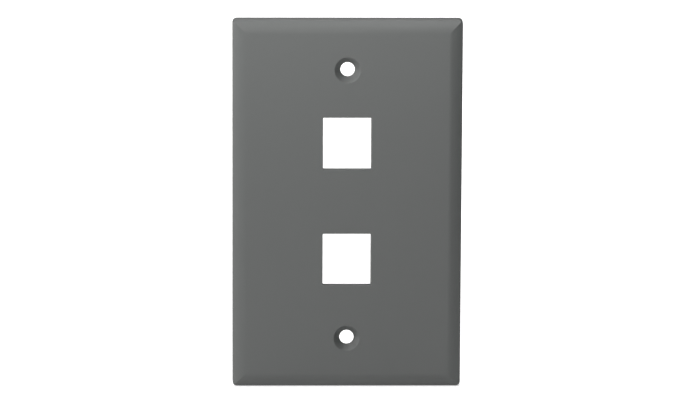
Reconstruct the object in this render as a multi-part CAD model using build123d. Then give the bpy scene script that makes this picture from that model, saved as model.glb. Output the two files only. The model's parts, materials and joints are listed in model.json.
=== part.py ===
from build123d import *
import os
from math import cos, radians, sin, tan

# Two-port keystone wall plate, single gang: one injection moulding in rigid plastic.
# Millimetres. +X is right as seen from the front, +Z is up, and the front faces -Y.
# The origin is the centre of the plate on the wall plane, where the rear rim sits at Y = 0.

# Outline
plate_width = 70.0
plate_height = 114.0
plate_depth = 5.6  # wall plane to front face
outline_radius = 1.4  # the four corners, seen from the front
side_draft = 1.0  # degrees, the side walls narrow towards the front

# Crowned border: a soft shoulder off the flat face, a slower curve, then a small rounded edge
border_run = 4.4
shoulder_radius = 5.4
shoulder_slope = 14.0  # degrees, where the shoulder passes into the slower curve
crown_radius = 12.0
crown_slope = 40.0  # degrees, well past the side wall, which trims the curve
edge_radius = 0.6

# Shell
front_wall = 2.3
skirt_wall = 2.2
pocket_corner_radius = 1.6
pocket_floor_radius = 0.8

# Screw seats, for 6-32 oval-head cover screws
screw_spacing = 83.34  # 3-9/32 in, the cover-screw spacing of single-gang devices
screw_hole_diameter = 4.4
cone_angle = 82.0
cone_depth = 2.0
cone_lip_radius = 0.35
screw_web = 0.6  # straight wall left below the cone
seat_pad_diameter = 9.4
seat_ring_diameter = 12.4
seat_ring_wall = 1.4
seat_ring_gap = 0.6  # the ring stops this far short of the wall plane

# Keystone ports
port_width = 14.8
port_height = 16.0
port_pitch = 36.0
port_corner_radius = 0.25
frame_wall = 2.0
frame_depth = 9.9  # front face to the rear of the frame
catch_depth = 8.0  # front face to the catching side of both catches
hook_shelf_depth = 6.5  # front face to the rear of the block that the jack's hook slides under
hook_recess = 2.0
latch_recess = 4.0
latch_catch_reach = 2.0
catch_lead = 1.0  # lead-in slope on the rear of each catch
window_width = 9.0  # mould shut-off windows that form the catches
window_depth = catch_depth - hook_shelf_depth

# Stiffening ribs
rib_thickness = 1.2
upright_rib_gap = 1.0  # the ribs stop this far short of the wall plane
cross_rib_gap = 1.4
side_rib_x = 19.5

# Marks left by moulding
ejector_diameter = 4.0
ejector_sink = 0.15
ejector_x = 26.5
ejector_heights = (-48.0, -27.0, 27.0, 48.0)
gate_diameter = 2.2
gate_stub = 0.35
gate_height = 3.0

# How far joined solids run into each other, and how far cutters run past a face
overlap = 0.2
clear = 1.0

front_y = -plate_depth
floor_y = front_y + front_wall  # the inner face of the front wall
frame_rear_y = front_y + frame_depth
catch_y = front_y + catch_depth
pocket_half_width = plate_width / 2 - skirt_wall
pocket_half_height = plate_height / 2 - skirt_wall
port_half_width = port_width / 2
# The latch side is the deeper one, so each opening sits above the middle of its frame.
opening_shift = (latch_recess - hook_recess) / 2
opening_heights = [port_pitch / 2 + opening_shift, -port_pitch / 2 + opening_shift]
screw_heights = [screw_spacing / 2, -screw_spacing / 2]
sides = (-1, 1)

# Section across the width and section up the height, both with local y running to the rear
across = Plane(origin=(0, 0, 0), x_dir=(1, 0, 0), z_dir=(0, 0, 1))
upright = Plane(origin=(0, 0, 0), x_dir=(0, 0, 1), z_dir=(-1, 0, 0))


def facing_front(y):
    """A plane at depth y, seen from the front, with local y up."""
    return Plane(origin=(0, y, 0), x_dir=(1, 0, 0), z_dir=(0, -1, 0))


def box(x_range, y_range, z_range):
    """A solid box between the given limits, in any order."""
    lows = [min(limits) for limits in (x_range, y_range, z_range)]
    highs = [max(limits) for limits in (x_range, y_range, z_range)]
    size = [high - low for low, high in zip(lows, highs)]
    middle = [(high + low) / 2 for low, high in zip(lows, highs)]
    return Pos(*middle) * Box(*size)


def rearward(y, length, outline):
    """An outline drawn on the front-facing plane at depth y, extruded to the rear."""
    return extrude(facing_front(y) * outline, amount=-length)


def slope_arc(start, radius, start_slope, end_slope):
    """The middle and end of an arc that turns from one slope to the other, falling to the rear."""

    def point_at(slope):
        run = radius * (sin(radians(slope)) - sin(radians(start_slope)))
        drop = radius * (cos(radians(start_slope)) - cos(radians(slope)))
        return (start[0] + run, start[1] + drop)

    return point_at((start_slope + end_slope) / 2), point_at(end_slope)


def border_section(half_size, plane):
    """The flat face and both curved borders in section, closed behind the wall plane."""
    start = (half_size - border_run, front_y)
    shoulder_middle, shoulder_end = slope_arc(start, shoulder_radius, 0, shoulder_slope)
    crown_middle, crown_end = slope_arc(
        shoulder_end, crown_radius, shoulder_slope, crown_slope
    )
    rear_corner = (crown_end[0], clear)
    edges = [Line((-start[0], start[1]), start)]
    for side in sides:

        def place(point):
            return (side * point[0], point[1])

        edges += [
            ThreePointArc(place(start), place(shoulder_middle), place(shoulder_end)),
            ThreePointArc(place(shoulder_end), place(crown_middle), place(crown_end)),
            Line(place(crown_end), place(rear_corner)),
        ]
    edges.append(Line((-rear_corner[0], clear), rear_corner))
    return plane * make_face(edges)


def outer_form():
    """The solid outer form. Two crossed sections make the borders meet in crisp mitres."""
    along_z = extrude(
        border_section(plate_width / 2, across), amount=plate_height, both=True
    )
    along_x = extrude(
        border_section(plate_height / 2, upright), amount=plate_width, both=True
    )
    outline = RectangleRounded(plate_width, plate_height, outline_radius)
    blank = extrude(
        facing_front(0) * outline, amount=plate_depth + clear, taper=side_draft
    )
    form = along_z & along_x & blank
    walls = [
        face
        for face in form.faces()
        if face.bounding_box().size.Y > plate_depth / 2
        and abs(face.normal_at(face.center()).Y) < 0.1
    ]
    outer_edges = [
        edge
        for wall in walls
        for edge in wall.edges()
        if edge.bounding_box().max.Y < front_y / 2
    ]
    return fillet(outer_edges, edge_radius)


def rear_pocket():
    """The space behind the front wall, with rounded corners and a rounded floor."""
    outline = RectangleRounded(
        2 * pocket_half_width, 2 * pocket_half_height, pocket_corner_radius
    )
    pocket = rearward(floor_y, plate_depth, outline)
    floor_edges = pocket.faces().sort_by(Axis.Y)[0].edges()
    return fillet(floor_edges, pocket_floor_radius)


def port_frame(height):
    """The walls and catches behind one opening. The hook side is up and the latch side down."""
    top_of_opening = height + port_height / 2
    bottom_of_opening = height - port_height / 2
    hook_roof = top_of_opening + hook_recess
    latch_floor = bottom_of_opening - latch_recess
    latch_tip = latch_floor + latch_catch_reach
    inside = (-port_half_width, port_half_width)
    outside = (-port_half_width - frame_wall, port_half_width + frame_wall)
    top, bottom = hook_roof + frame_wall, latch_floor - frame_wall
    rear = frame_rear_y + clear
    hook_y = front_y + hook_shelf_depth
    window = (-window_width / 2, window_width / 2)
    window_y = (catch_y - window_depth, catch_y)

    frame = box(outside, (floor_y - overlap, frame_rear_y), (bottom, top))
    frame -= box(inside, (front_y - clear, rear), (bottom_of_opening, top_of_opening))
    frame -= box(inside, (hook_y, catch_y), (height, hook_roof))
    frame -= box(inside, (floor_y, catch_y), (latch_floor, height))
    frame -= box(inside, (floor_y, rear), (latch_tip, height))
    frame -= box(window, window_y, (height, top + clear))
    frame -= box(window, window_y, (bottom - clear, height))
    for tip, side in ((top_of_opening, 1), (latch_tip, -1)):
        frame -= catch_slope(tip, side)
    return frame


def catch_slope(tip, side):
    """The lead-in slope cut from the rear corner of a catch, for a jack pushed in from behind."""
    outline = Polyline(
        (frame_rear_y - catch_lead, tip),
        (frame_rear_y + overlap, tip),
        (frame_rear_y + overlap, tip + side * (catch_lead + overlap)),
        close=True,
    )
    side_view = Plane(origin=(0, 0, 0), x_dir=(0, 1, 0), z_dir=(1, 0, 0))
    return extrude(side_view * make_face(outline), amount=port_half_width, both=True)


def port_opening(height):
    """The opening through the front wall."""
    outline = Pos(0, height) * RectangleRounded(
        port_width, port_height, port_corner_radius
    )
    return rearward(front_y - clear, front_wall + clear, outline)


def screw_seat(height):
    """The pad that carries the cone, and the ring that meets the box strap, behind one hole."""
    pad_length = cone_depth + screw_web - front_wall + overlap
    pad = rearward(
        floor_y - overlap, pad_length, Pos(0, height) * Circle(seat_pad_diameter / 2)
    )
    outer = Circle(seat_ring_diameter / 2)
    inner = Circle(seat_ring_diameter / 2 - seat_ring_wall)
    ring_length = -seat_ring_gap - floor_y + overlap
    ring = rearward(floor_y - overlap, ring_length, Pos(0, height) * (outer - inner))
    return pad + ring


def screw_hole(height):
    """The round hole, its cone and the rounded lip of the cone, as one turned cutter."""
    hole_radius = screw_hole_diameter / 2
    half_angle = radians(cone_angle / 2)
    cone_radius = hole_radius + cone_depth * tan(half_angle)
    # the lip's arc touches the front face and the cone
    lip_turn = radians(90) - half_angle
    lip_tangent = cone_lip_radius * tan(lip_turn / 2)
    on_face = (cone_radius + lip_tangent, 0)
    on_cone = (
        cone_radius - lip_tangent * sin(half_angle),
        lip_tangent * cos(half_angle),
    )
    lip_middle = (
        on_face[0] - cone_lip_radius * sin(lip_turn / 2),
        cone_lip_radius - cone_lip_radius * cos(lip_turn / 2),
    )
    edges = [
        Line((0, -clear), (on_face[0], -clear)),
        Line((on_face[0], -clear), on_face),
        ThreePointArc(on_face, lip_middle, on_cone),
        Line(on_cone, (hole_radius, cone_depth)),
        Line((hole_radius, cone_depth), (hole_radius, plate_depth)),
        Line((hole_radius, plate_depth), (0, plate_depth)),
        Line((0, plate_depth), (0, -clear)),
    ]
    half_section = Plane(origin=(0, front_y, height), x_dir=(1, 0, 0), z_dir=(0, 0, 1))
    return revolve(half_section * make_face(edges), axis=Axis((0, 0, height), (0, 1, 0)))


def stiffening_ribs():
    """Thin ribs from the frames and the screw rings to the skirt."""
    upright_depths = (floor_y - overlap, -upright_rib_gap)
    cross_depths = (floor_y - overlap, -cross_rib_gap)
    half_rib = rib_thickness / 2
    reach_x = pocket_half_width + overlap
    reach_z = pocket_half_height + overlap
    frame_side = port_half_width + frame_wall - overlap
    frame_top = port_pitch / 2 + port_height / 2 + latch_recess - opening_shift + frame_wall
    ring_reach = seat_ring_diameter / 2 - overlap
    ribs = []
    for side in sides:
        x = side * side_rib_x
        ribs.append(box((x - half_rib, x + half_rib), upright_depths, (-reach_z, reach_z)))
        # from the middle and from both frames to this side's skirt
        for height, start in ((0, 0), (port_pitch / 2, frame_side), (-port_pitch / 2, frame_side)):
            span = (side * start, side * reach_x)
            ribs.append(box(span, cross_depths, (height - half_rib, height + half_rib)))
        # from each screw ring to this side's skirt
        for height in screw_heights:
            span = (side * ring_reach, side * reach_x)
            ribs.append(box(span, cross_depths, (height - half_rib, height + half_rib)))
        # from the end frame to its screw ring
        span = (side * (frame_top - overlap), side * (screw_spacing / 2 - ring_reach))
        ribs.append(box((-half_rib, half_rib), upright_depths, span))
    return ribs


def ejector_marks():
    """Shallow round witness marks of the ejector pins, sunk in the inner face."""
    spot = Circle(ejector_diameter / 2)
    return [
        rearward(floor_y - ejector_sink, ejector_sink + overlap, Pos(side * ejector_x, z) * spot)
        for side in sides
        for z in ejector_heights
    ]


def gate_mark():
    """The trimmed stub of the gate, between the two frames."""
    spot = Pos(0, gate_height) * Circle(gate_diameter / 2)
    return rearward(floor_y - overlap, gate_stub + overlap, spot)


def faceplate():
    plate = outer_form() - rear_pocket()
    plate += stiffening_ribs()
    plate += [port_frame(height) for height in opening_heights]
    plate += [screw_seat(height) for height in screw_heights]
    plate += gate_mark()
    plate -= [port_opening(height) for height in opening_heights]
    plate -= [screw_hole(height) for height in screw_heights]
    plate -= ejector_marks()
    return plate.solid()


os.makedirs("parts", exist_ok=True)
plate = faceplate()
plate.label = "faceplate"
export_step(plate, "parts/faceplate.step")
print(f"faceplate: {plate.volume:.0f} mm3, valid {plate.is_valid}")
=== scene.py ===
import json
from math import asin, atan, copysign, cos, pi, radians, sin, tan

import bmesh
import bpy
from mathutils import Matrix, Vector


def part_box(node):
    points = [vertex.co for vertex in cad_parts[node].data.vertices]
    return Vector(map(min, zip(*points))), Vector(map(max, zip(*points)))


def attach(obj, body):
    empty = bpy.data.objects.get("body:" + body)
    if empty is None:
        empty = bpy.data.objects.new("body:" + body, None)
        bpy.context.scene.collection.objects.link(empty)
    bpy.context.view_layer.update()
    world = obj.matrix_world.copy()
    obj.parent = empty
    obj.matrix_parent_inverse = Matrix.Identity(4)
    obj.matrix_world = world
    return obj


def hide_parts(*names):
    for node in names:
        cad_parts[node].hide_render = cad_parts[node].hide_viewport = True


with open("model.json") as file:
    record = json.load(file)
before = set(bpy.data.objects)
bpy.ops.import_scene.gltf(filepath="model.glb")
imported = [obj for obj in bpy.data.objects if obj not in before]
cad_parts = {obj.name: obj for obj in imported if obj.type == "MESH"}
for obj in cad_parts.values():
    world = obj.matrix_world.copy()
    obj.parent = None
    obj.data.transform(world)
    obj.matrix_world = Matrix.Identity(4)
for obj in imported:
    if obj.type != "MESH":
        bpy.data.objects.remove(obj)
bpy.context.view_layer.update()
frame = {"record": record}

print("frame loaded")

# The plate is modelled in millimetres and scaled to metres once, when its mesh is finished.
# Its front faces -Y, +Z is up, and the rear rim lies on the wall plane at Y = 0.
metresPerMm = 0.001
plateLow, plateHigh = [Vector(corner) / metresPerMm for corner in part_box("faceplate")]
mounts = {mount["name"]: mount for mount in frame["record"]["mounts"]}
halfWidth, halfHeight = plateHigh.x, plateHigh.z
frontY, frameRearY = plateLow.y, plateHigh.y
screwHeight = mounts["cover_screw_holes"]["dims"]["spacing_y_mm"] / 2
screwHoleRadius = mounts["cover_screw_holes"]["dims"]["hole_r_mm"]
portHeights = [
    mounts[name]["pos_m"][2] / metresPerMm for name in ("upper_jack_port", "lower_jack_port")
]
sink = 0.3  # how far an added part is sunk into what it stands on, and a cutter runs past
sliver = 0.01  # keeps two faces that would share a plane just apart
liftOff = 0.002  # how far off a face the arc of a rounded lip or foot starts
overrun = 1.0  # how far a cutter runs past where it only meets air
sameSpot = 0.0001  # vertices nearer than this are one
arcFacets = 5
circleFacets = 72


def linearColour(hexCode):
    # sRGB hex to the linear values that the shaders take
    channels = [int(hexCode[i:i + 2], 16) / 255 for i in (1, 3, 5)]
    return [c / 12.92 if c <= 0.04045 else ((c + 0.055) / 1.055) ** 2.4 for c in channels] + [1]


def faceFrom(bm, corners, rounds):
    # a face from a few corners, with an arc of the given radius at some of them
    verts = [bm.verts.new(corner) for corner in corners]
    bm.faces.new(verts)
    for index, radius in rounds.items():
        corner = verts[index]
        arms = [edge.other_vert(corner).co - corner.co for edge in corner.link_edges]
        bmesh.ops.bevel(
            bm, geom=[corner], offset=radius / tan(arms[0].angle(arms[1]) / 2),
            segments=arcFacets, profile=0.5, affect="VERTICES", offset_type="OFFSET",
            material=-1, clamp_overlap=False,
        )


def roundedSheet(bm, centre, halfX, halfZ, radius, y, facets):
    # one flat face with rounded corners, lying across Y
    bmesh.ops.create_grid(bm, x_segments=1, y_segments=1, size=1)
    for vert in bm.verts:
        vert.co = (centre[0] + vert.co.x * halfX, y, centre[1] + vert.co.y * halfZ)
    bmesh.ops.bevel(
        bm, geom=bm.verts[:], offset=radius, segments=facets, profile=0.5,
        affect="VERTICES", offset_type="OFFSET", material=-1, clamp_overlap=False,
    )


def cornerWay(co, centre, coreX, coreZ):
    # the arc centre of the corner that a ring's vertex belongs to, and the way out from there
    x, z = co.x - centre[0], co.z - centre[1]
    core = Vector((copysign(coreX, x), 0, copysign(coreZ, z)))
    way = Vector((max(abs(x) - coreX, 0), 0, max(abs(z) - coreZ, 0))).normalized()
    way = Vector((copysign(way.x, x), 0, copysign(way.z, z)))
    return core + Vector((centre[0], 0, centre[1])), way


def growRing(bm, place):
    # pulls one more ring out of the open edge and moves its vertices where place says
    made = bmesh.ops.extrude_edge_only(bm, edges=[edge for edge in bm.edges if edge.is_boundary])
    for vert in [item for item in made["geom"] if isinstance(item, bmesh.types.BMVert)]:
        vert.co = place(vert.co)


def closeRing(bm):
    bmesh.ops.holes_fill(bm, edges=[edge for edge in bm.edges if edge.is_boundary], sides=0)


def ringStack(centre, halfX, halfZ, radius, rings):
    # a solid swept through rounded rectangles, each given as (growth, depth)
    bm = bmesh.new()
    growth, y = rings[0]
    roundedSheet(bm, centre, halfX + growth, halfZ + growth, radius + growth, y, arcFacets)
    coreX, coreZ = halfX - radius, halfZ - radius
    for growth, y in rings[1:]:

        def place(co):
            core, way = cornerWay(co, centre, coreX, coreZ)
            return core + way * (radius + growth) + Vector((0, y, 0))

        growRing(bm, place)
    closeRing(bm)
    return bm


def filletRings(growth, y, radius, rootward):
    # the (growth, depth) steps of a quarter arc that runs out from the wall at the given growth,
    # rootward for a foot that spreads on the floor at depth y, else for a rounded end at depth y
    steps = [radians(90) * i / arcFacets for i in range(arcFacets + 1)]
    if rootward:
        return [(growth + radius * (1 - sin(t)), y + radius * (1 - cos(t))) for t in steps]
    return [(growth - radius * (1 - cos(t)), y - radius * (1 - sin(t))) for t in steps]


def block(low, high):
    bm = bmesh.new()
    bmesh.ops.create_cube(bm, size=1)
    low, high = Vector(low), Vector(high)
    bmesh.ops.scale(bm, vec=high - low, verts=bm.verts)
    bmesh.ops.translate(bm, vec=(high + low) / 2, verts=bm.verts)
    return bm


def prism(corners, rounds, push):
    # a section pushed along one direction
    bm = bmesh.new()
    faceFrom(bm, corners, rounds)
    made = bmesh.ops.extrude_face_region(bm, geom=bm.faces[:])["geom"]
    verts = [item for item in made if isinstance(item, bmesh.types.BMVert)]
    bmesh.ops.translate(bm, vec=push, verts=verts)
    return bm


def turned(centre, corners, rounds, twist=0):
    # a section given as (radius, depth), turned a full circle about an axis along Y;
    # twist keeps the facets of a hole off those of the part it goes through
    bm = bmesh.new()
    faceFrom(bm, [(radius, y, 0) for radius, y in corners], rounds)
    bmesh.ops.delete(bm, geom=bm.faces[:], context="FACES_ONLY")
    onAxis = [edge for edge in bm.edges if max(vert.co.x for vert in edge.verts) < sameSpot]
    bmesh.ops.delete(bm, geom=onAxis, context="EDGES")
    bmesh.ops.spin(
        bm, geom=bm.verts[:] + bm.edges[:], cent=(0, 0, 0), axis=(0, 1, 0), dvec=(0, 0, 0),
        angle=2 * pi, steps=circleFacets, use_merge=True, use_duplicate=False,
    )
    bmesh.ops.remove_doubles(bm, verts=bm.verts, dist=sameSpot)
    turn = Matrix.Rotation(twist, 3, "Y")
    bmesh.ops.rotate(bm, cent=(0, 0, 0), matrix=turn, verts=bm.verts)
    bmesh.ops.translate(bm, vec=(centre[0], 0, centre[1]), verts=bm.verts)
    return bm


def toObject(bm, name):
    bmesh.ops.recalc_face_normals(bm, faces=bm.faces)
    mesh = bpy.data.meshes.new(name)
    bm.to_mesh(mesh)
    bm.free()
    piece = bpy.data.objects.new(name, mesh)
    bpy.context.scene.collection.objects.link(piece)
    return piece


# The shell: flat face, crowned border, drafted side walls, rim and rear pocket.
shellShape = {
    "cornerRadius": 1.4,
    "mitreRadius": 0.004,         # small enough for a ring's corner to merge into one point
    "borderRun": 4.4,             # from the outline to where the face turns flat
    "shoulderRadius": 5.4,        # the soft turn off the flat face
    "shoulderSlope": radians(14),
    "crownRadius": 12.0,          # the slower curve outside the shoulder
    "edgeRadius": 0.6,
    "sideSlope": radians(89),     # one degree of draft on the side walls
    "facetSlope": radians(1.5),   # how much each facet of the border turns
    "edgeFacets": 6,
    "edgeRefinements": 10,        # rounds of working out where the crown ends
    "cornerFacets": 12,
    "partingRound": 0.12,         # the rear outer edge, where the mould parts
    "wallThickness": 2.3,
    "skirtThickness": 2.2,
    "pocketRadius": 1.6,
    "pocketFloorRadius": 0.8,
    "rimRound": 0.2,
}
floorY = frontY + shellShape["wallThickness"]
pocketHalfWidth = halfWidth - shellShape["skirtThickness"]
pocketHalfHeight = halfHeight - shellShape["skirtThickness"]
shoulderRun = shellShape["shoulderRadius"] * sin(shellShape["shoulderSlope"])


def borderSlope(run):
    # run is measured outwards from the flat face
    shape = shellShape
    if run <= shoulderRun:
        return asin(max(run, 0) / shape["shoulderRadius"])
    return asin(sin(shape["shoulderSlope"]) + (run - shoulderRun) / shape["crownRadius"])


def borderDrop(run):
    shape = shellShape
    slope = borderSlope(run)
    if slope <= shape["shoulderSlope"]:
        return shape["shoulderRadius"] * (1 - cos(slope))
    shoulderDrop = shape["shoulderRadius"] * (1 - cos(shape["shoulderSlope"]))
    return shoulderDrop + shape["crownRadius"] * (cos(shape["shoulderSlope"]) - cos(slope))


def borderStations(lastRun):
    # how far out each facet of the border ends, evenly spaced by slope
    shape = shellShape
    runs = []
    for i in range(1, int(borderSlope(lastRun) / shape["facetSlope"]) + 1):
        slope = shape["facetSlope"] * i
        if slope <= shape["shoulderSlope"]:
            runs.append(shape["shoulderRadius"] * sin(slope))
        else:
            turn = sin(slope) - sin(shape["shoulderSlope"])
            runs.append(shoulderRun + shape["crownRadius"] * turn)
    return runs


def edgeInsets():
    # how far inside the outline the crown ends, and the rounded edge meets the side wall
    shape = shellShape
    draft = 1 / tan(shape["sideSlope"])
    crownEnd = shape["edgeRadius"] / 2
    for _ in range(shape["edgeRefinements"]):
        slope = borderSlope(shape["borderRun"] - crownEnd)
        arcDepth = shape["edgeRadius"] * (cos(slope) - cos(shape["sideSlope"]))
        wallTop = frontY + borderDrop(shape["borderRun"] - crownEnd) + arcDepth
        wallInset = -wallTop * draft
        crownEnd = wallInset + shape["edgeRadius"] * (sin(shape["sideSlope"]) - sin(slope))
    return crownEnd, wallInset


def fromOutline(co):
    return min(halfWidth - abs(co.x), halfHeight - abs(co.z))


def shell():
    shape = shellShape
    crownEnd, wallInset = edgeInsets()
    flatX, flatZ = halfWidth - shape["borderRun"], halfHeight - shape["borderRun"]
    crisp = shape["mitreRadius"]
    bm = bmesh.new()
    roundedSheet(bm, (0, 0), flatX, flatZ, crisp, frontY, shape["cornerFacets"])
    core = (flatX - crisp, flatZ - crisp)

    def grow(halfX, halfZ, radius, depthAt):
        # one more ring, a rounded rectangle of this size
        newCore = (halfX - radius, halfZ - radius)

        def place(co):
            way = cornerWay(co, (0, 0), *core)[1]
            spot = Vector((copysign(newCore[0], co.x), 0, copysign(newCore[1], co.z)))
            spot += way * radius
            spot.y = depthAt(spot)
            return spot

        growRing(bm, place)
        return newCore

    # the border's rings turn crisp corners, until the plate's own corner radius cuts them off
    for run in borderStations(shape["borderRun"] - shape["cornerRadius"] / 2):
        core = grow(flatX + run, flatZ + run, crisp, lambda spot: frontY + borderDrop(run))
    radius = shape["cornerRadius"]
    core = grow(
        halfWidth - crownEnd, halfHeight - crownEnd, radius - crownEnd,
        lambda spot: frontY + borderDrop(shape["borderRun"] - fromOutline(spot)),
    )

    def edgePlace(co):
        # the arc between the crown and the side wall, whose start is flatter round the corners
        corner, way = cornerWay(co, (0, 0), *core)
        start = corner + way * (radius - crownEnd)
        run = shape["borderRun"] - fromOutline(start)
        slope = atan(tan(borderSlope(run)) * max(abs(way.x), abs(way.z)))
        arcRadius = (crownEnd - wallInset) / (sin(shape["sideSlope"]) - sin(slope))
        turn = slope + (shape["sideSlope"] - slope) * step / shape["edgeFacets"]
        spot = start + way * arcRadius * (sin(turn) - sin(slope))
        spot.y = frontY + borderDrop(run) + arcRadius * (cos(slope) - cos(turn))
        return spot

    for step in range(1, shape["edgeFacets"] + 1):
        growRing(bm, edgePlace)
    for growth, y in filletRings(0, 0, shape["partingRound"], False):
        core = grow(halfWidth + growth, halfHeight + growth, radius + growth, lambda spot: y)
    pocketRings = [(growth, -y) for growth, y in filletRings(0, 0, shape["rimRound"], True)]
    pocketRings += [
        (growth, floorY - y)
        for growth, y in filletRings(0, 0, shape["pocketFloorRadius"], False)
    ]
    for growth, y in pocketRings:
        core = grow(
            pocketHalfWidth + growth, pocketHalfHeight + growth,
            shape["pocketRadius"] + growth, lambda spot: y,
        )
    closeRing(bm)
    bmesh.ops.remove_doubles(bm, verts=bm.verts, dist=2 * crisp)
    return toObject(bm, "plateMoulding")


def combine(piece, bm, operation):
    # joins a solid to the piece with UNION, or cuts it away with DIFFERENCE
    tool = toObject(bm, "tool")
    modifier = piece.modifiers.new("combine", "BOOLEAN")
    modifier.operation = operation
    modifier.solver = "EXACT"
    modifier.object = tool
    depsgraph = bpy.context.evaluated_depsgraph_get()
    oldMesh, toolMesh = piece.data, tool.data
    piece.data = bpy.data.meshes.new_from_object(piece.evaluated_get(depsgraph))
    piece.modifiers.clear()
    bpy.data.objects.remove(tool)
    for mesh in (oldMesh, toolMesh):
        bpy.data.meshes.remove(mesh)


plate = shell()
print("shell made")


# Keystone ports: the frame behind each opening, its two catches and their mould windows.
portShape = {
    "width": 14.8,
    "height": 16.0,
    "cornerRadius": 0.25,
    "lipRound": 0.15,       # the front edge of the opening
    "frameWall": 2.0,
    "frameCorner": 0.6,
    "hookRecess": 2.0,      # above the opening
    "latchRecess": 4.0,     # below the opening
    "latchReach": 2.0,
    "shelfDepth": 6.5,      # front face to the rear of the hook shelf
    "catchDepth": 8.0,      # front face to the catching side of both catches
    "leadIn": 1.0,          # slope on the rear of each catch
    "windowWidth": 9.0,
    "innerRound": 0.2,
    "rootFillet": 0.5,
    "rearRound": 0.3,
}


def portFrame(height):
    shape = portShape
    bottom = height - shape["height"] / 2 - shape["latchRecess"] - shape["frameWall"]
    top = height + shape["height"] / 2 + shape["hookRecess"] + shape["frameWall"]
    rings = [(shape["rootFillet"] + sliver, floorY - sink)]
    rings += filletRings(0, floorY - liftOff, shape["rootFillet"], True)
    rings += filletRings(0, frameRearY, shape["rearRound"], False)
    return ringStack(
        (0, (top + bottom) / 2), shape["width"] / 2 + shape["frameWall"], (top - bottom) / 2,
        shape["frameCorner"], rings,
    )


def portCavity(height):
    # the space inside a frame, as one section up the height pushed across the width
    shape = portShape
    top, bottom = height + shape["height"] / 2, height - shape["height"] / 2
    shelfY, catchY = frontY + shape["shelfDepth"], frontY + shape["catchDepth"]
    leadY = frameRearY - shape["leadIn"]
    past = shape["leadIn"] + sink
    latchFloor = bottom - shape["latchRecess"]
    latchTip = latchFloor + shape["latchReach"]
    section = [
        (floorY - sliver, bottom), (floorY - sliver, top + sliver),
        (shelfY, top + sliver), (shelfY, top + shape["hookRecess"]),
        (catchY, top + shape["hookRecess"]), (catchY, top + sliver),
        (leadY, top + sliver), (frameRearY + sink, top + past),
        (frameRearY + sink, latchTip - past), (leadY, latchTip),
        (catchY, latchTip), (catchY, latchFloor),
        (floorY, latchFloor), (floorY, bottom - sliver),
    ]
    side = shape["width"] / 2 + sliver
    rounds = {index: shape["innerRound"] for index in (2, 3, 4, 5, 6, 9, 10, 11, 12)}
    return prism([(-side, y, z) for y, z in section], rounds, (2 * side, 0, 0))


def portMouth(height):
    # the opening through the front wall, with its edge rounded at the face
    shape = portShape
    lip = shape["lipRound"]
    rings = [(lip + sliver, frontY - sink)]
    rings += filletRings(0, frontY - liftOff, lip, True)
    rings += [(0, floorY + sink)]
    return ringStack(
        (0, height), shape["width"] / 2, shape["height"] / 2, shape["cornerRadius"], rings
    )


def portWindows(height):
    shape = portShape
    half = shape["windowWidth"] / 2
    low, high = frontY + shape["shelfDepth"], frontY + shape["catchDepth"]
    top = height + shape["height"] / 2 + shape["hookRecess"]
    bottom = height - shape["height"] / 2 - shape["latchRecess"]
    reach = shape["frameWall"] + sink
    return [
        block((-half, low, top - overrun), (half, high, top + reach)),
        block((-half, low, bottom - reach), (half, high, bottom + overrun)),
    ]


# Screw seats: a countersunk hole, the pad behind its cone and the ring that meets the box.
seatShape = {
    "coneAngle": radians(82),
    "coneDepth": 2.0,
    "lipRadius": 0.35,
    "webDepth": 0.6,        # straight wall left below the cone
    "ringRadius": 6.2,
    "ringWall": 1.4,
    "ringGap": 0.6,         # how far short of the wall plane the ring stops
    "rootFillet": 0.45,
    "ringRound": 0.3,
}


def screwSeat(height):
    shape = seatShape
    outer, inner = shape["ringRadius"], shape["ringRadius"] - shape["ringWall"]
    padY = frontY + shape["coneDepth"] + shape["webDepth"]
    foot = outer + shape["rootFillet"] + sliver
    section = [
        (0, floorY - sink), (foot, floorY - sink), (foot, floorY - liftOff),
        (outer, floorY - liftOff), (outer, -shape["ringGap"]), (inner, -shape["ringGap"]),
        (inner, padY), (0, padY),
    ]
    rounds = {3: shape["rootFillet"]}
    rounds.update({index: shape["ringRound"] for index in (4, 5, 6)})
    return turned((0, height), section, rounds)


def screwHole(height):
    shape = seatShape
    coneRadius = screwHoleRadius + shape["coneDepth"] * tan(shape["coneAngle"] / 2)
    mouth = coneRadius + shape["lipRadius"]
    section = [
        (0, frontY - overrun), (mouth, frontY - overrun), (mouth, frontY - liftOff),
        (coneRadius, frontY - liftOff), (screwHoleRadius, frontY + shape["coneDepth"]),
        (screwHoleRadius, sink), (0, sink),
    ]
    return turned((0, height), section, {3: shape["lipRadius"]}, pi / circleFacets)


# Stiffening ribs on the back of the front wall.
ribShape = {
    "thickness": 1.2,
    "uprightGap": 1.0,      # how far short of the wall plane the ribs stop
    "crossGap": 1.4,
    "sideX": 19.5,
    "rootFillet": 0.4,
    "topRound": 0.3,
}


def rib(axis, place, start, end, gap):
    # axis 0 runs across the width and axis 2 up the height
    shape = ribShape
    half = shape["thickness"] / 2
    foot = half + shape["rootFillet"] + sliver
    section = [
        (-foot, floorY - sink), (foot, floorY - sink), (foot, floorY - liftOff),
        (half, floorY - liftOff), (half, -gap), (-half, -gap), (-half, floorY - liftOff),
        (-foot, floorY - liftOff),
    ]
    rounds = {index: shape["rootFillet"] for index in (3, 6)}
    rounds.update({index: shape["topRound"] for index in (4, 5)})
    if axis == 0:
        return prism([(start, y, place + w) for w, y in section], rounds, (end - start, 0, 0))
    return prism([(place + w, y, start) for w, y in section], rounds, (0, 0, end - start))


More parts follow.
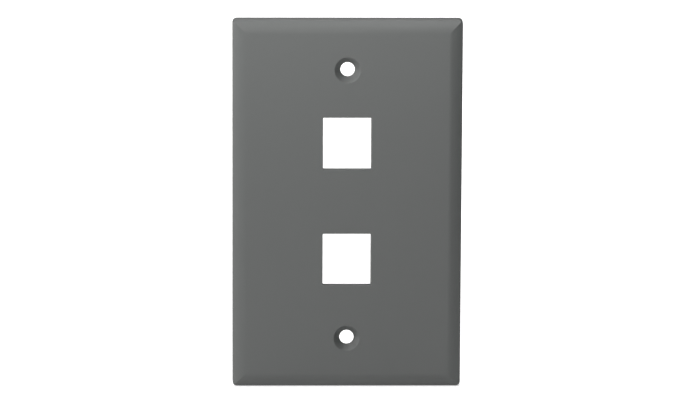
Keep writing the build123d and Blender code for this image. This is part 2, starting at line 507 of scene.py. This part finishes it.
def ribs():
    shape, ports = ribShape, portShape
    reachX, reachZ = pocketHalfWidth + sink, pocketHalfHeight + sink
    frameSide = ports["width"] / 2 + ports["frameWall"] - sink
    ringSide = seatShape["ringRadius"] - sink
    frameTop = portHeights[0] + ports["height"] / 2 + ports["hookRecess"] + ports["frameWall"]
    frameHeight = (portHeights[0] - portHeights[1]) / 2
    made = [rib(0, 0, -reachX, reachX, shape["crossGap"])]
    for side in (-1, 1):
        made.append(rib(2, side * shape["sideX"], -reachZ, reachZ, shape["uprightGap"]))
        span = sorted((side * (frameTop - sink), side * (screwHeight - ringSide)))
        made.append(rib(2, 0, *span, shape["uprightGap"]))
        for height, start in ((frameHeight, frameSide), (screwHeight, ringSide)):
            span = sorted((side * start, side * reachX))
            made.append(rib(0, height, *span, shape["crossGap"]))
            made.append(rib(0, -height, *span, shape["crossGap"]))
    return made


# Marks that moulding leaves on the back: sunk ejector pin marks and the trimmed gate.
markShape = {
    "ejectorRadius": 2.0,
    "ejectorSink": 0.15,
    "ejectorX": 26.5,
    "ejectorHeights": (-48.0, -27.0, 27.0, 48.0),
    "gateRadius": 1.1,
    "gateStub": 0.35,
    "gateHeight": 3.0,
    "markRound": 0.1,
}


def ejectorMarks():
    shape = markShape
    section = [
        (0, floorY - shape["ejectorSink"]),
        (shape["ejectorRadius"], floorY - shape["ejectorSink"]),
        (shape["ejectorRadius"], floorY + sink), (0, floorY + sink),
    ]
    return [
        turned((side * shape["ejectorX"], height), section, {1: shape["markRound"]})
        for side in (-1, 1) for height in shape["ejectorHeights"]
    ]


def gateMark():
    shape = markShape
    section = [
        (0, floorY - sink), (shape["gateRadius"], floorY - sink),
        (shape["gateRadius"], floorY + shape["gateStub"]), (0, floorY + shape["gateStub"]),
    ]
    return turned((0, shape["gateHeight"]), section, {2: shape["markRound"]})


for solid in ribs():
    combine(plate, solid, "UNION")
for height in portHeights:
    combine(plate, portFrame(height), "UNION")
for height in (screwHeight, -screwHeight):
    combine(plate, screwSeat(height), "UNION")
combine(plate, gateMark(), "UNION")
print("back of the plate joined on")

for height in portHeights:
    combine(plate, portCavity(height), "DIFFERENCE")
    combine(plate, portMouth(height), "DIFFERENCE")
    for window in portWindows(height):
        combine(plate, window, "DIFFERENCE")
for height in (screwHeight, -screwHeight):
    combine(plate, screwHole(height), "DIFFERENCE")
for mark in ejectorMarks():
    combine(plate, mark, "DIFFERENCE")
print("ports and screw holes cut")


# Shading: smooth everywhere but at real corners and along the mitres of the border.
shadingLimits = {
    "sharpAngle": radians(32),
    "mergeDistance": 0.0005,
    "mitreWidth": 0.02,    # how far aside of a mitre a vertex may lie
    "mitreReach": 0.01,    # and how far past its ends
}


def onMitre(co):
    limits = shadingLimits
    aside = abs((halfWidth - abs(co.x)) - (halfHeight - abs(co.z)))
    inside = fromOutline(co) < shellShape["borderRun"] + limits["mitreReach"]
    return aside < limits["mitreWidth"] and inside


def finishMesh(piece):
    bm = bmesh.new()
    bm.from_mesh(piece.data)
    bmesh.ops.remove_doubles(bm, verts=bm.verts, dist=shadingLimits["mergeDistance"])
    bmesh.ops.recalc_face_normals(bm, faces=bm.faces)
    mitreEnd = frontY + borderDrop(shellShape["borderRun"] - edgeInsets()[0])
    mitreEnd += shadingLimits["mitreReach"]
    for face in bm.faces:
        face.smooth = True
    for edge in bm.edges:
        inBorder = all(onMitre(vert.co) and vert.co.y < mitreEnd for vert in edge.verts)
        turn = edge.calc_face_angle(0)
        edge.smooth = not (inBorder or turn > shadingLimits["sharpAngle"])
    bm.to_mesh(piece.data)
    bm.free()
    piece.data.transform(Matrix.Scale(metresPerMm, 4))
    weighted = piece.modifiers.new("weightedNormal", "WEIGHTED_NORMAL")
    weighted.mode = "FACE_AREA"
    weighted.keep_sharp = True


finishMesh(plate)
print("plate finished")


# Material: the moulded plastic of the plate.
def addNode(tree, kind, settings=None, inputs=None, links=None):
    # links maps an input's name to the (node, output name) that feeds it
    node = tree.nodes.new(kind)
    for name, value in (settings or {}).items():
        setattr(node, name, value)
    for name, value in (inputs or {}).items():
        node.inputs[name].default_value = value
    for name, (source, output) in (links or {}).items():
        tree.links.new(source.outputs[output], node.inputs[name])
    return node


def newMaterial(name):
    material = bpy.data.materials.new(name)
    material.use_nodes = True
    material.node_tree.nodes.clear()
    return material, material.node_tree


absFinish = {
    "colour": "#545655",
    "ior": 1.54,
    "roughness": 0.5,
    "roughnessSpread": 0.05,
    "grainMm": 0.35,        # real grain is about 0.1 mm, too fine to show, so it is coarser here
    "grainDepthMm": 0.006,
    "grainDetail": 3.0,
    "grainEvenness": 0.6,
    "coolingMm": 14.0,      # spacing of the faint unevenness that cooling leaves
    "coolingDepthMm": 0.004,
    "coolingDetail": 1.0,
}


def mouldedAbs():
    # ABS, injection moulded against a spark-eroded steel face: an even mid grey with a soft, dry
    # sheen instead of a gloss, and a grain just fine enough to break up the highlights
    finish = absFinish
    material, tree = newMaterial("greySparkErodedAbs")
    place = addNode(tree, "ShaderNodeTexCoord")
    grain = addNode(
        tree, "ShaderNodeTexNoise",
        inputs={
            "Scale": 1 / (finish["grainMm"] * metresPerMm),
            "Detail": finish["grainDetail"], "Roughness": finish["grainEvenness"],
        },
        links={"Vector": (place, "Object")},
    )
    cooling = addNode(
        tree, "ShaderNodeTexNoise",
        inputs={
            "Scale": 1 / (finish["coolingMm"] * metresPerMm), "Detail": finish["coolingDetail"],
        },
        links={"Vector": (place, "Object")},
    )
    coolingBump = addNode(
        tree, "ShaderNodeBump",
        inputs={"Strength": 1.0, "Distance": finish["coolingDepthMm"] * metresPerMm},
        links={"Height": (cooling, "Fac")},
    )
    grainBump = addNode(
        tree, "ShaderNodeBump",
        inputs={"Strength": 1.0, "Distance": finish["grainDepthMm"] * metresPerMm},
        links={"Height": (grain, "Fac"), "Normal": (coolingBump, "Normal")},
    )
    roughness = addNode(
        tree, "ShaderNodeMapRange",
        inputs={
            "To Min": finish["roughness"] - finish["roughnessSpread"],
            "To Max": finish["roughness"] + finish["roughnessSpread"],
        },
        links={"Value": (grain, "Fac")},
    )
    shader = addNode(
        tree, "ShaderNodeBsdfPrincipled",
        inputs={"Base Color": linearColour(finish["colour"]), "IOR": finish["ior"]},
        links={"Roughness": (roughness, "Result"), "Normal": (grainBump, "Normal")},
    )
    addNode(tree, "ShaderNodeOutputMaterial", links={"Surface": (shader, "BSDF")})
    return material


plate.data.materials.clear()
plate.data.materials.append(mouldedAbs())
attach(plate, "root")
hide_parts("faceplate")
print("material made")


# Studio: a pale floor under the plate, a white surround and soft lights.
studio = {
    "floorHalfSize": 0.9,
    "floorGap": 0.0002,
    "floorColour": "#f8f8f8",
    "floorRoughness": 0.9,
    "floorGlow": 0.6,       # how much whiter the floor looks than its lamps make it
    "surround": 1.0,        # how white the surround looks
    "ambient": 0.02,        # how much light it gives
}

# Places and sizes are in metres, spread in degrees. The lamps named for the floor point
# straight down.
openSpread = 180
lamps = {
    "keyLamp": {
        "from": (-0.13, -0.11, 0.17), "to": (-0.02, 0, 0.02), "size": (0.08, 0.08), "watts": 0.285,
    },
    "borderLamp": {
        "from": (0.03, -0.09, 0.14), "to": (0.01, 0, 0.04), "size": (0.08, 0.05), "watts": 0.072,
    },
    "faceLamp": {
        "from": (-0.02, -0.15, 0.11), "to": (0, 0, 0.02), "size": (0.06, 0.06), "watts": 0.03,
    },
    "leftLamp": {"from": (-0.8, -0.3, 0.1), "to": (0, 0, 0), "size": (0.4, 0.3), "watts": 3.1},
    "lowLamp": {"from": (0, -0.8, 0), "to": (0, 0, 0), "size": (0.4, 0.1), "watts": 0.85},
    "topLamp": {
        "from": (0, -0.03, 0.35), "to": (0, -0.03, 0), "size": (0.3, 0.06), "watts": 0.03,
        "spread": 60,
    },
    "frontFloorLamp": {
        "from": (0, -0.6, 0.55), "to": (0, -0.6, 0), "size": (1.2, 0.6), "watts": 0.9,
        "spread": 109,
    },
    "leftFloorLamp": {
        "from": (-0.75, 0.05, 0.4), "to": (-0.75, 0.05, 0), "size": (0.6, 0.5), "watts": 1.0,
        "spread": 90,
    },
    "rightFloorLamp": {
        "from": (0.75, 0.05, 0.4), "to": (0.75, 0.05, 0), "size": (0.6, 0.5), "watts": 1.0,
        "spread": 90,
    },
    "rearFloorLamp": {
        "from": (0, 0.3, 0.45), "to": (0, 0.3, 0), "size": (0.9, 0.25), "watts": 1.1,
        "spread": 126,
    },
    "farFloorLamp": {
        "from": (0, 0.8, 0.7), "to": (0, 0.8, 0), "size": (1.2, 0.5), "watts": 4.0, "spread": 126,
    },
}


def addFloor():
    bm = bmesh.new()
    bmesh.ops.create_grid(bm, x_segments=1, y_segments=1, size=studio["floorHalfSize"])
    height = plateLow.z * metresPerMm - studio["floorGap"]
    bmesh.ops.translate(bm, vec=(0, 0, height), verts=bm.verts)
    floor = toObject(bm, "studioFloor")
    material, tree = newMaterial("whiteStudioFloor")
    shader = addNode(
        tree, "ShaderNodeBsdfPrincipled",
        inputs={
            "Base Color": linearColour(studio["floorColour"]),
            "Roughness": studio["floorRoughness"],
        },
    )
    path = addNode(tree, "ShaderNodeLightPath")
    glow = addNode(
        tree, "ShaderNodeEmission", inputs={"Color": [studio["floorGlow"]] * 3 + [1]},
        links={"Strength": (path, "Is Camera Ray")},
    )
    both = addNode(tree, "ShaderNodeAddShader")
    tree.links.new(shader.outputs["BSDF"], both.inputs[0])
    tree.links.new(glow.outputs["Emission"], both.inputs[1])
    addNode(tree, "ShaderNodeOutputMaterial", links={"Surface": (both, "Shader")})
    floor.data.materials.append(material)


def addSurround():
    world = bpy.data.worlds.new("whiteSurround")
    world.use_nodes = True
    tree = world.node_tree
    tree.nodes.clear()
    path = addNode(tree, "ShaderNodeLightPath")
    light = addNode(tree, "ShaderNodeBackground", inputs={"Strength": studio["ambient"]})
    seen = addNode(tree, "ShaderNodeBackground", inputs={"Strength": studio["surround"]})
    for background in (light, seen):
        background.inputs["Color"].default_value = (1, 1, 1, 1)
    mix = addNode(tree, "ShaderNodeMixShader", links={"Fac": (path, "Is Camera Ray")})
    tree.links.new(light.outputs["Background"], mix.inputs[1])
    tree.links.new(seen.outputs["Background"], mix.inputs[2])
    addNode(tree, "ShaderNodeOutputWorld", links={"Surface": (mix, "Shader")})
    bpy.context.scene.world = world


def addLamp(name, setting):
    data = bpy.data.lights.new(name, "AREA")
    data.shape = "RECTANGLE"
    data.size, data.size_y = setting["size"]
    data.energy = setting["watts"]
    data.spread = radians(setting.get("spread", openSpread))
    lamp = bpy.data.objects.new(name, data)
    bpy.context.scene.collection.objects.link(lamp)
    lamp.location = setting["from"]
    aim = Vector(setting["to"]) - Vector(setting["from"])
    lamp.rotation_euler = aim.to_track_quat("-Z", "Y").to_euler()


addFloor()
addSurround()
for name, setting in lamps.items():
    addLamp(name, setting)
print("studio lit")


# Camera: above the plate and slightly to its left, level with the plate's upper and lower edges.
cameraShape = {
    "distance": 1.474,
    "elevation": radians(11.6),
    "side": radians(1.255),
    "aim": (-0.00054, 0, 0.00044),
    "lensMm": 251.5,
    "sensorMm": 36.0,
    "clipEnd": 20,
}


def addCamera():
    shape = cameraShape
    data = bpy.data.cameras.new("camera")
    data.lens, data.sensor_width = shape["lensMm"], shape["sensorMm"]
    data.sensor_fit = "HORIZONTAL"
    data.clip_end = shape["clipEnd"]
    forward = Vector((
        sin(shape["side"]) * cos(shape["elevation"]),
        cos(shape["side"]) * cos(shape["elevation"]),
        -sin(shape["elevation"]),
    ))
    right = (Vector((1, 0, 0)) - forward * forward.x).normalized()
    turn = Matrix((right, right.cross(forward), -forward)).transposed()
    camera = bpy.data.objects.new("camera", data)
    camera.matrix_world = Matrix.Translation(
        Vector(shape["aim"]) - forward * shape["distance"]
    ) @ turn.to_4x4()
    bpy.context.scene.collection.objects.link(camera)
    bpy.context.scene.camera = camera


addCamera()
bpy.context.scene.view_settings.view_transform = "Standard"
print("camera placed")
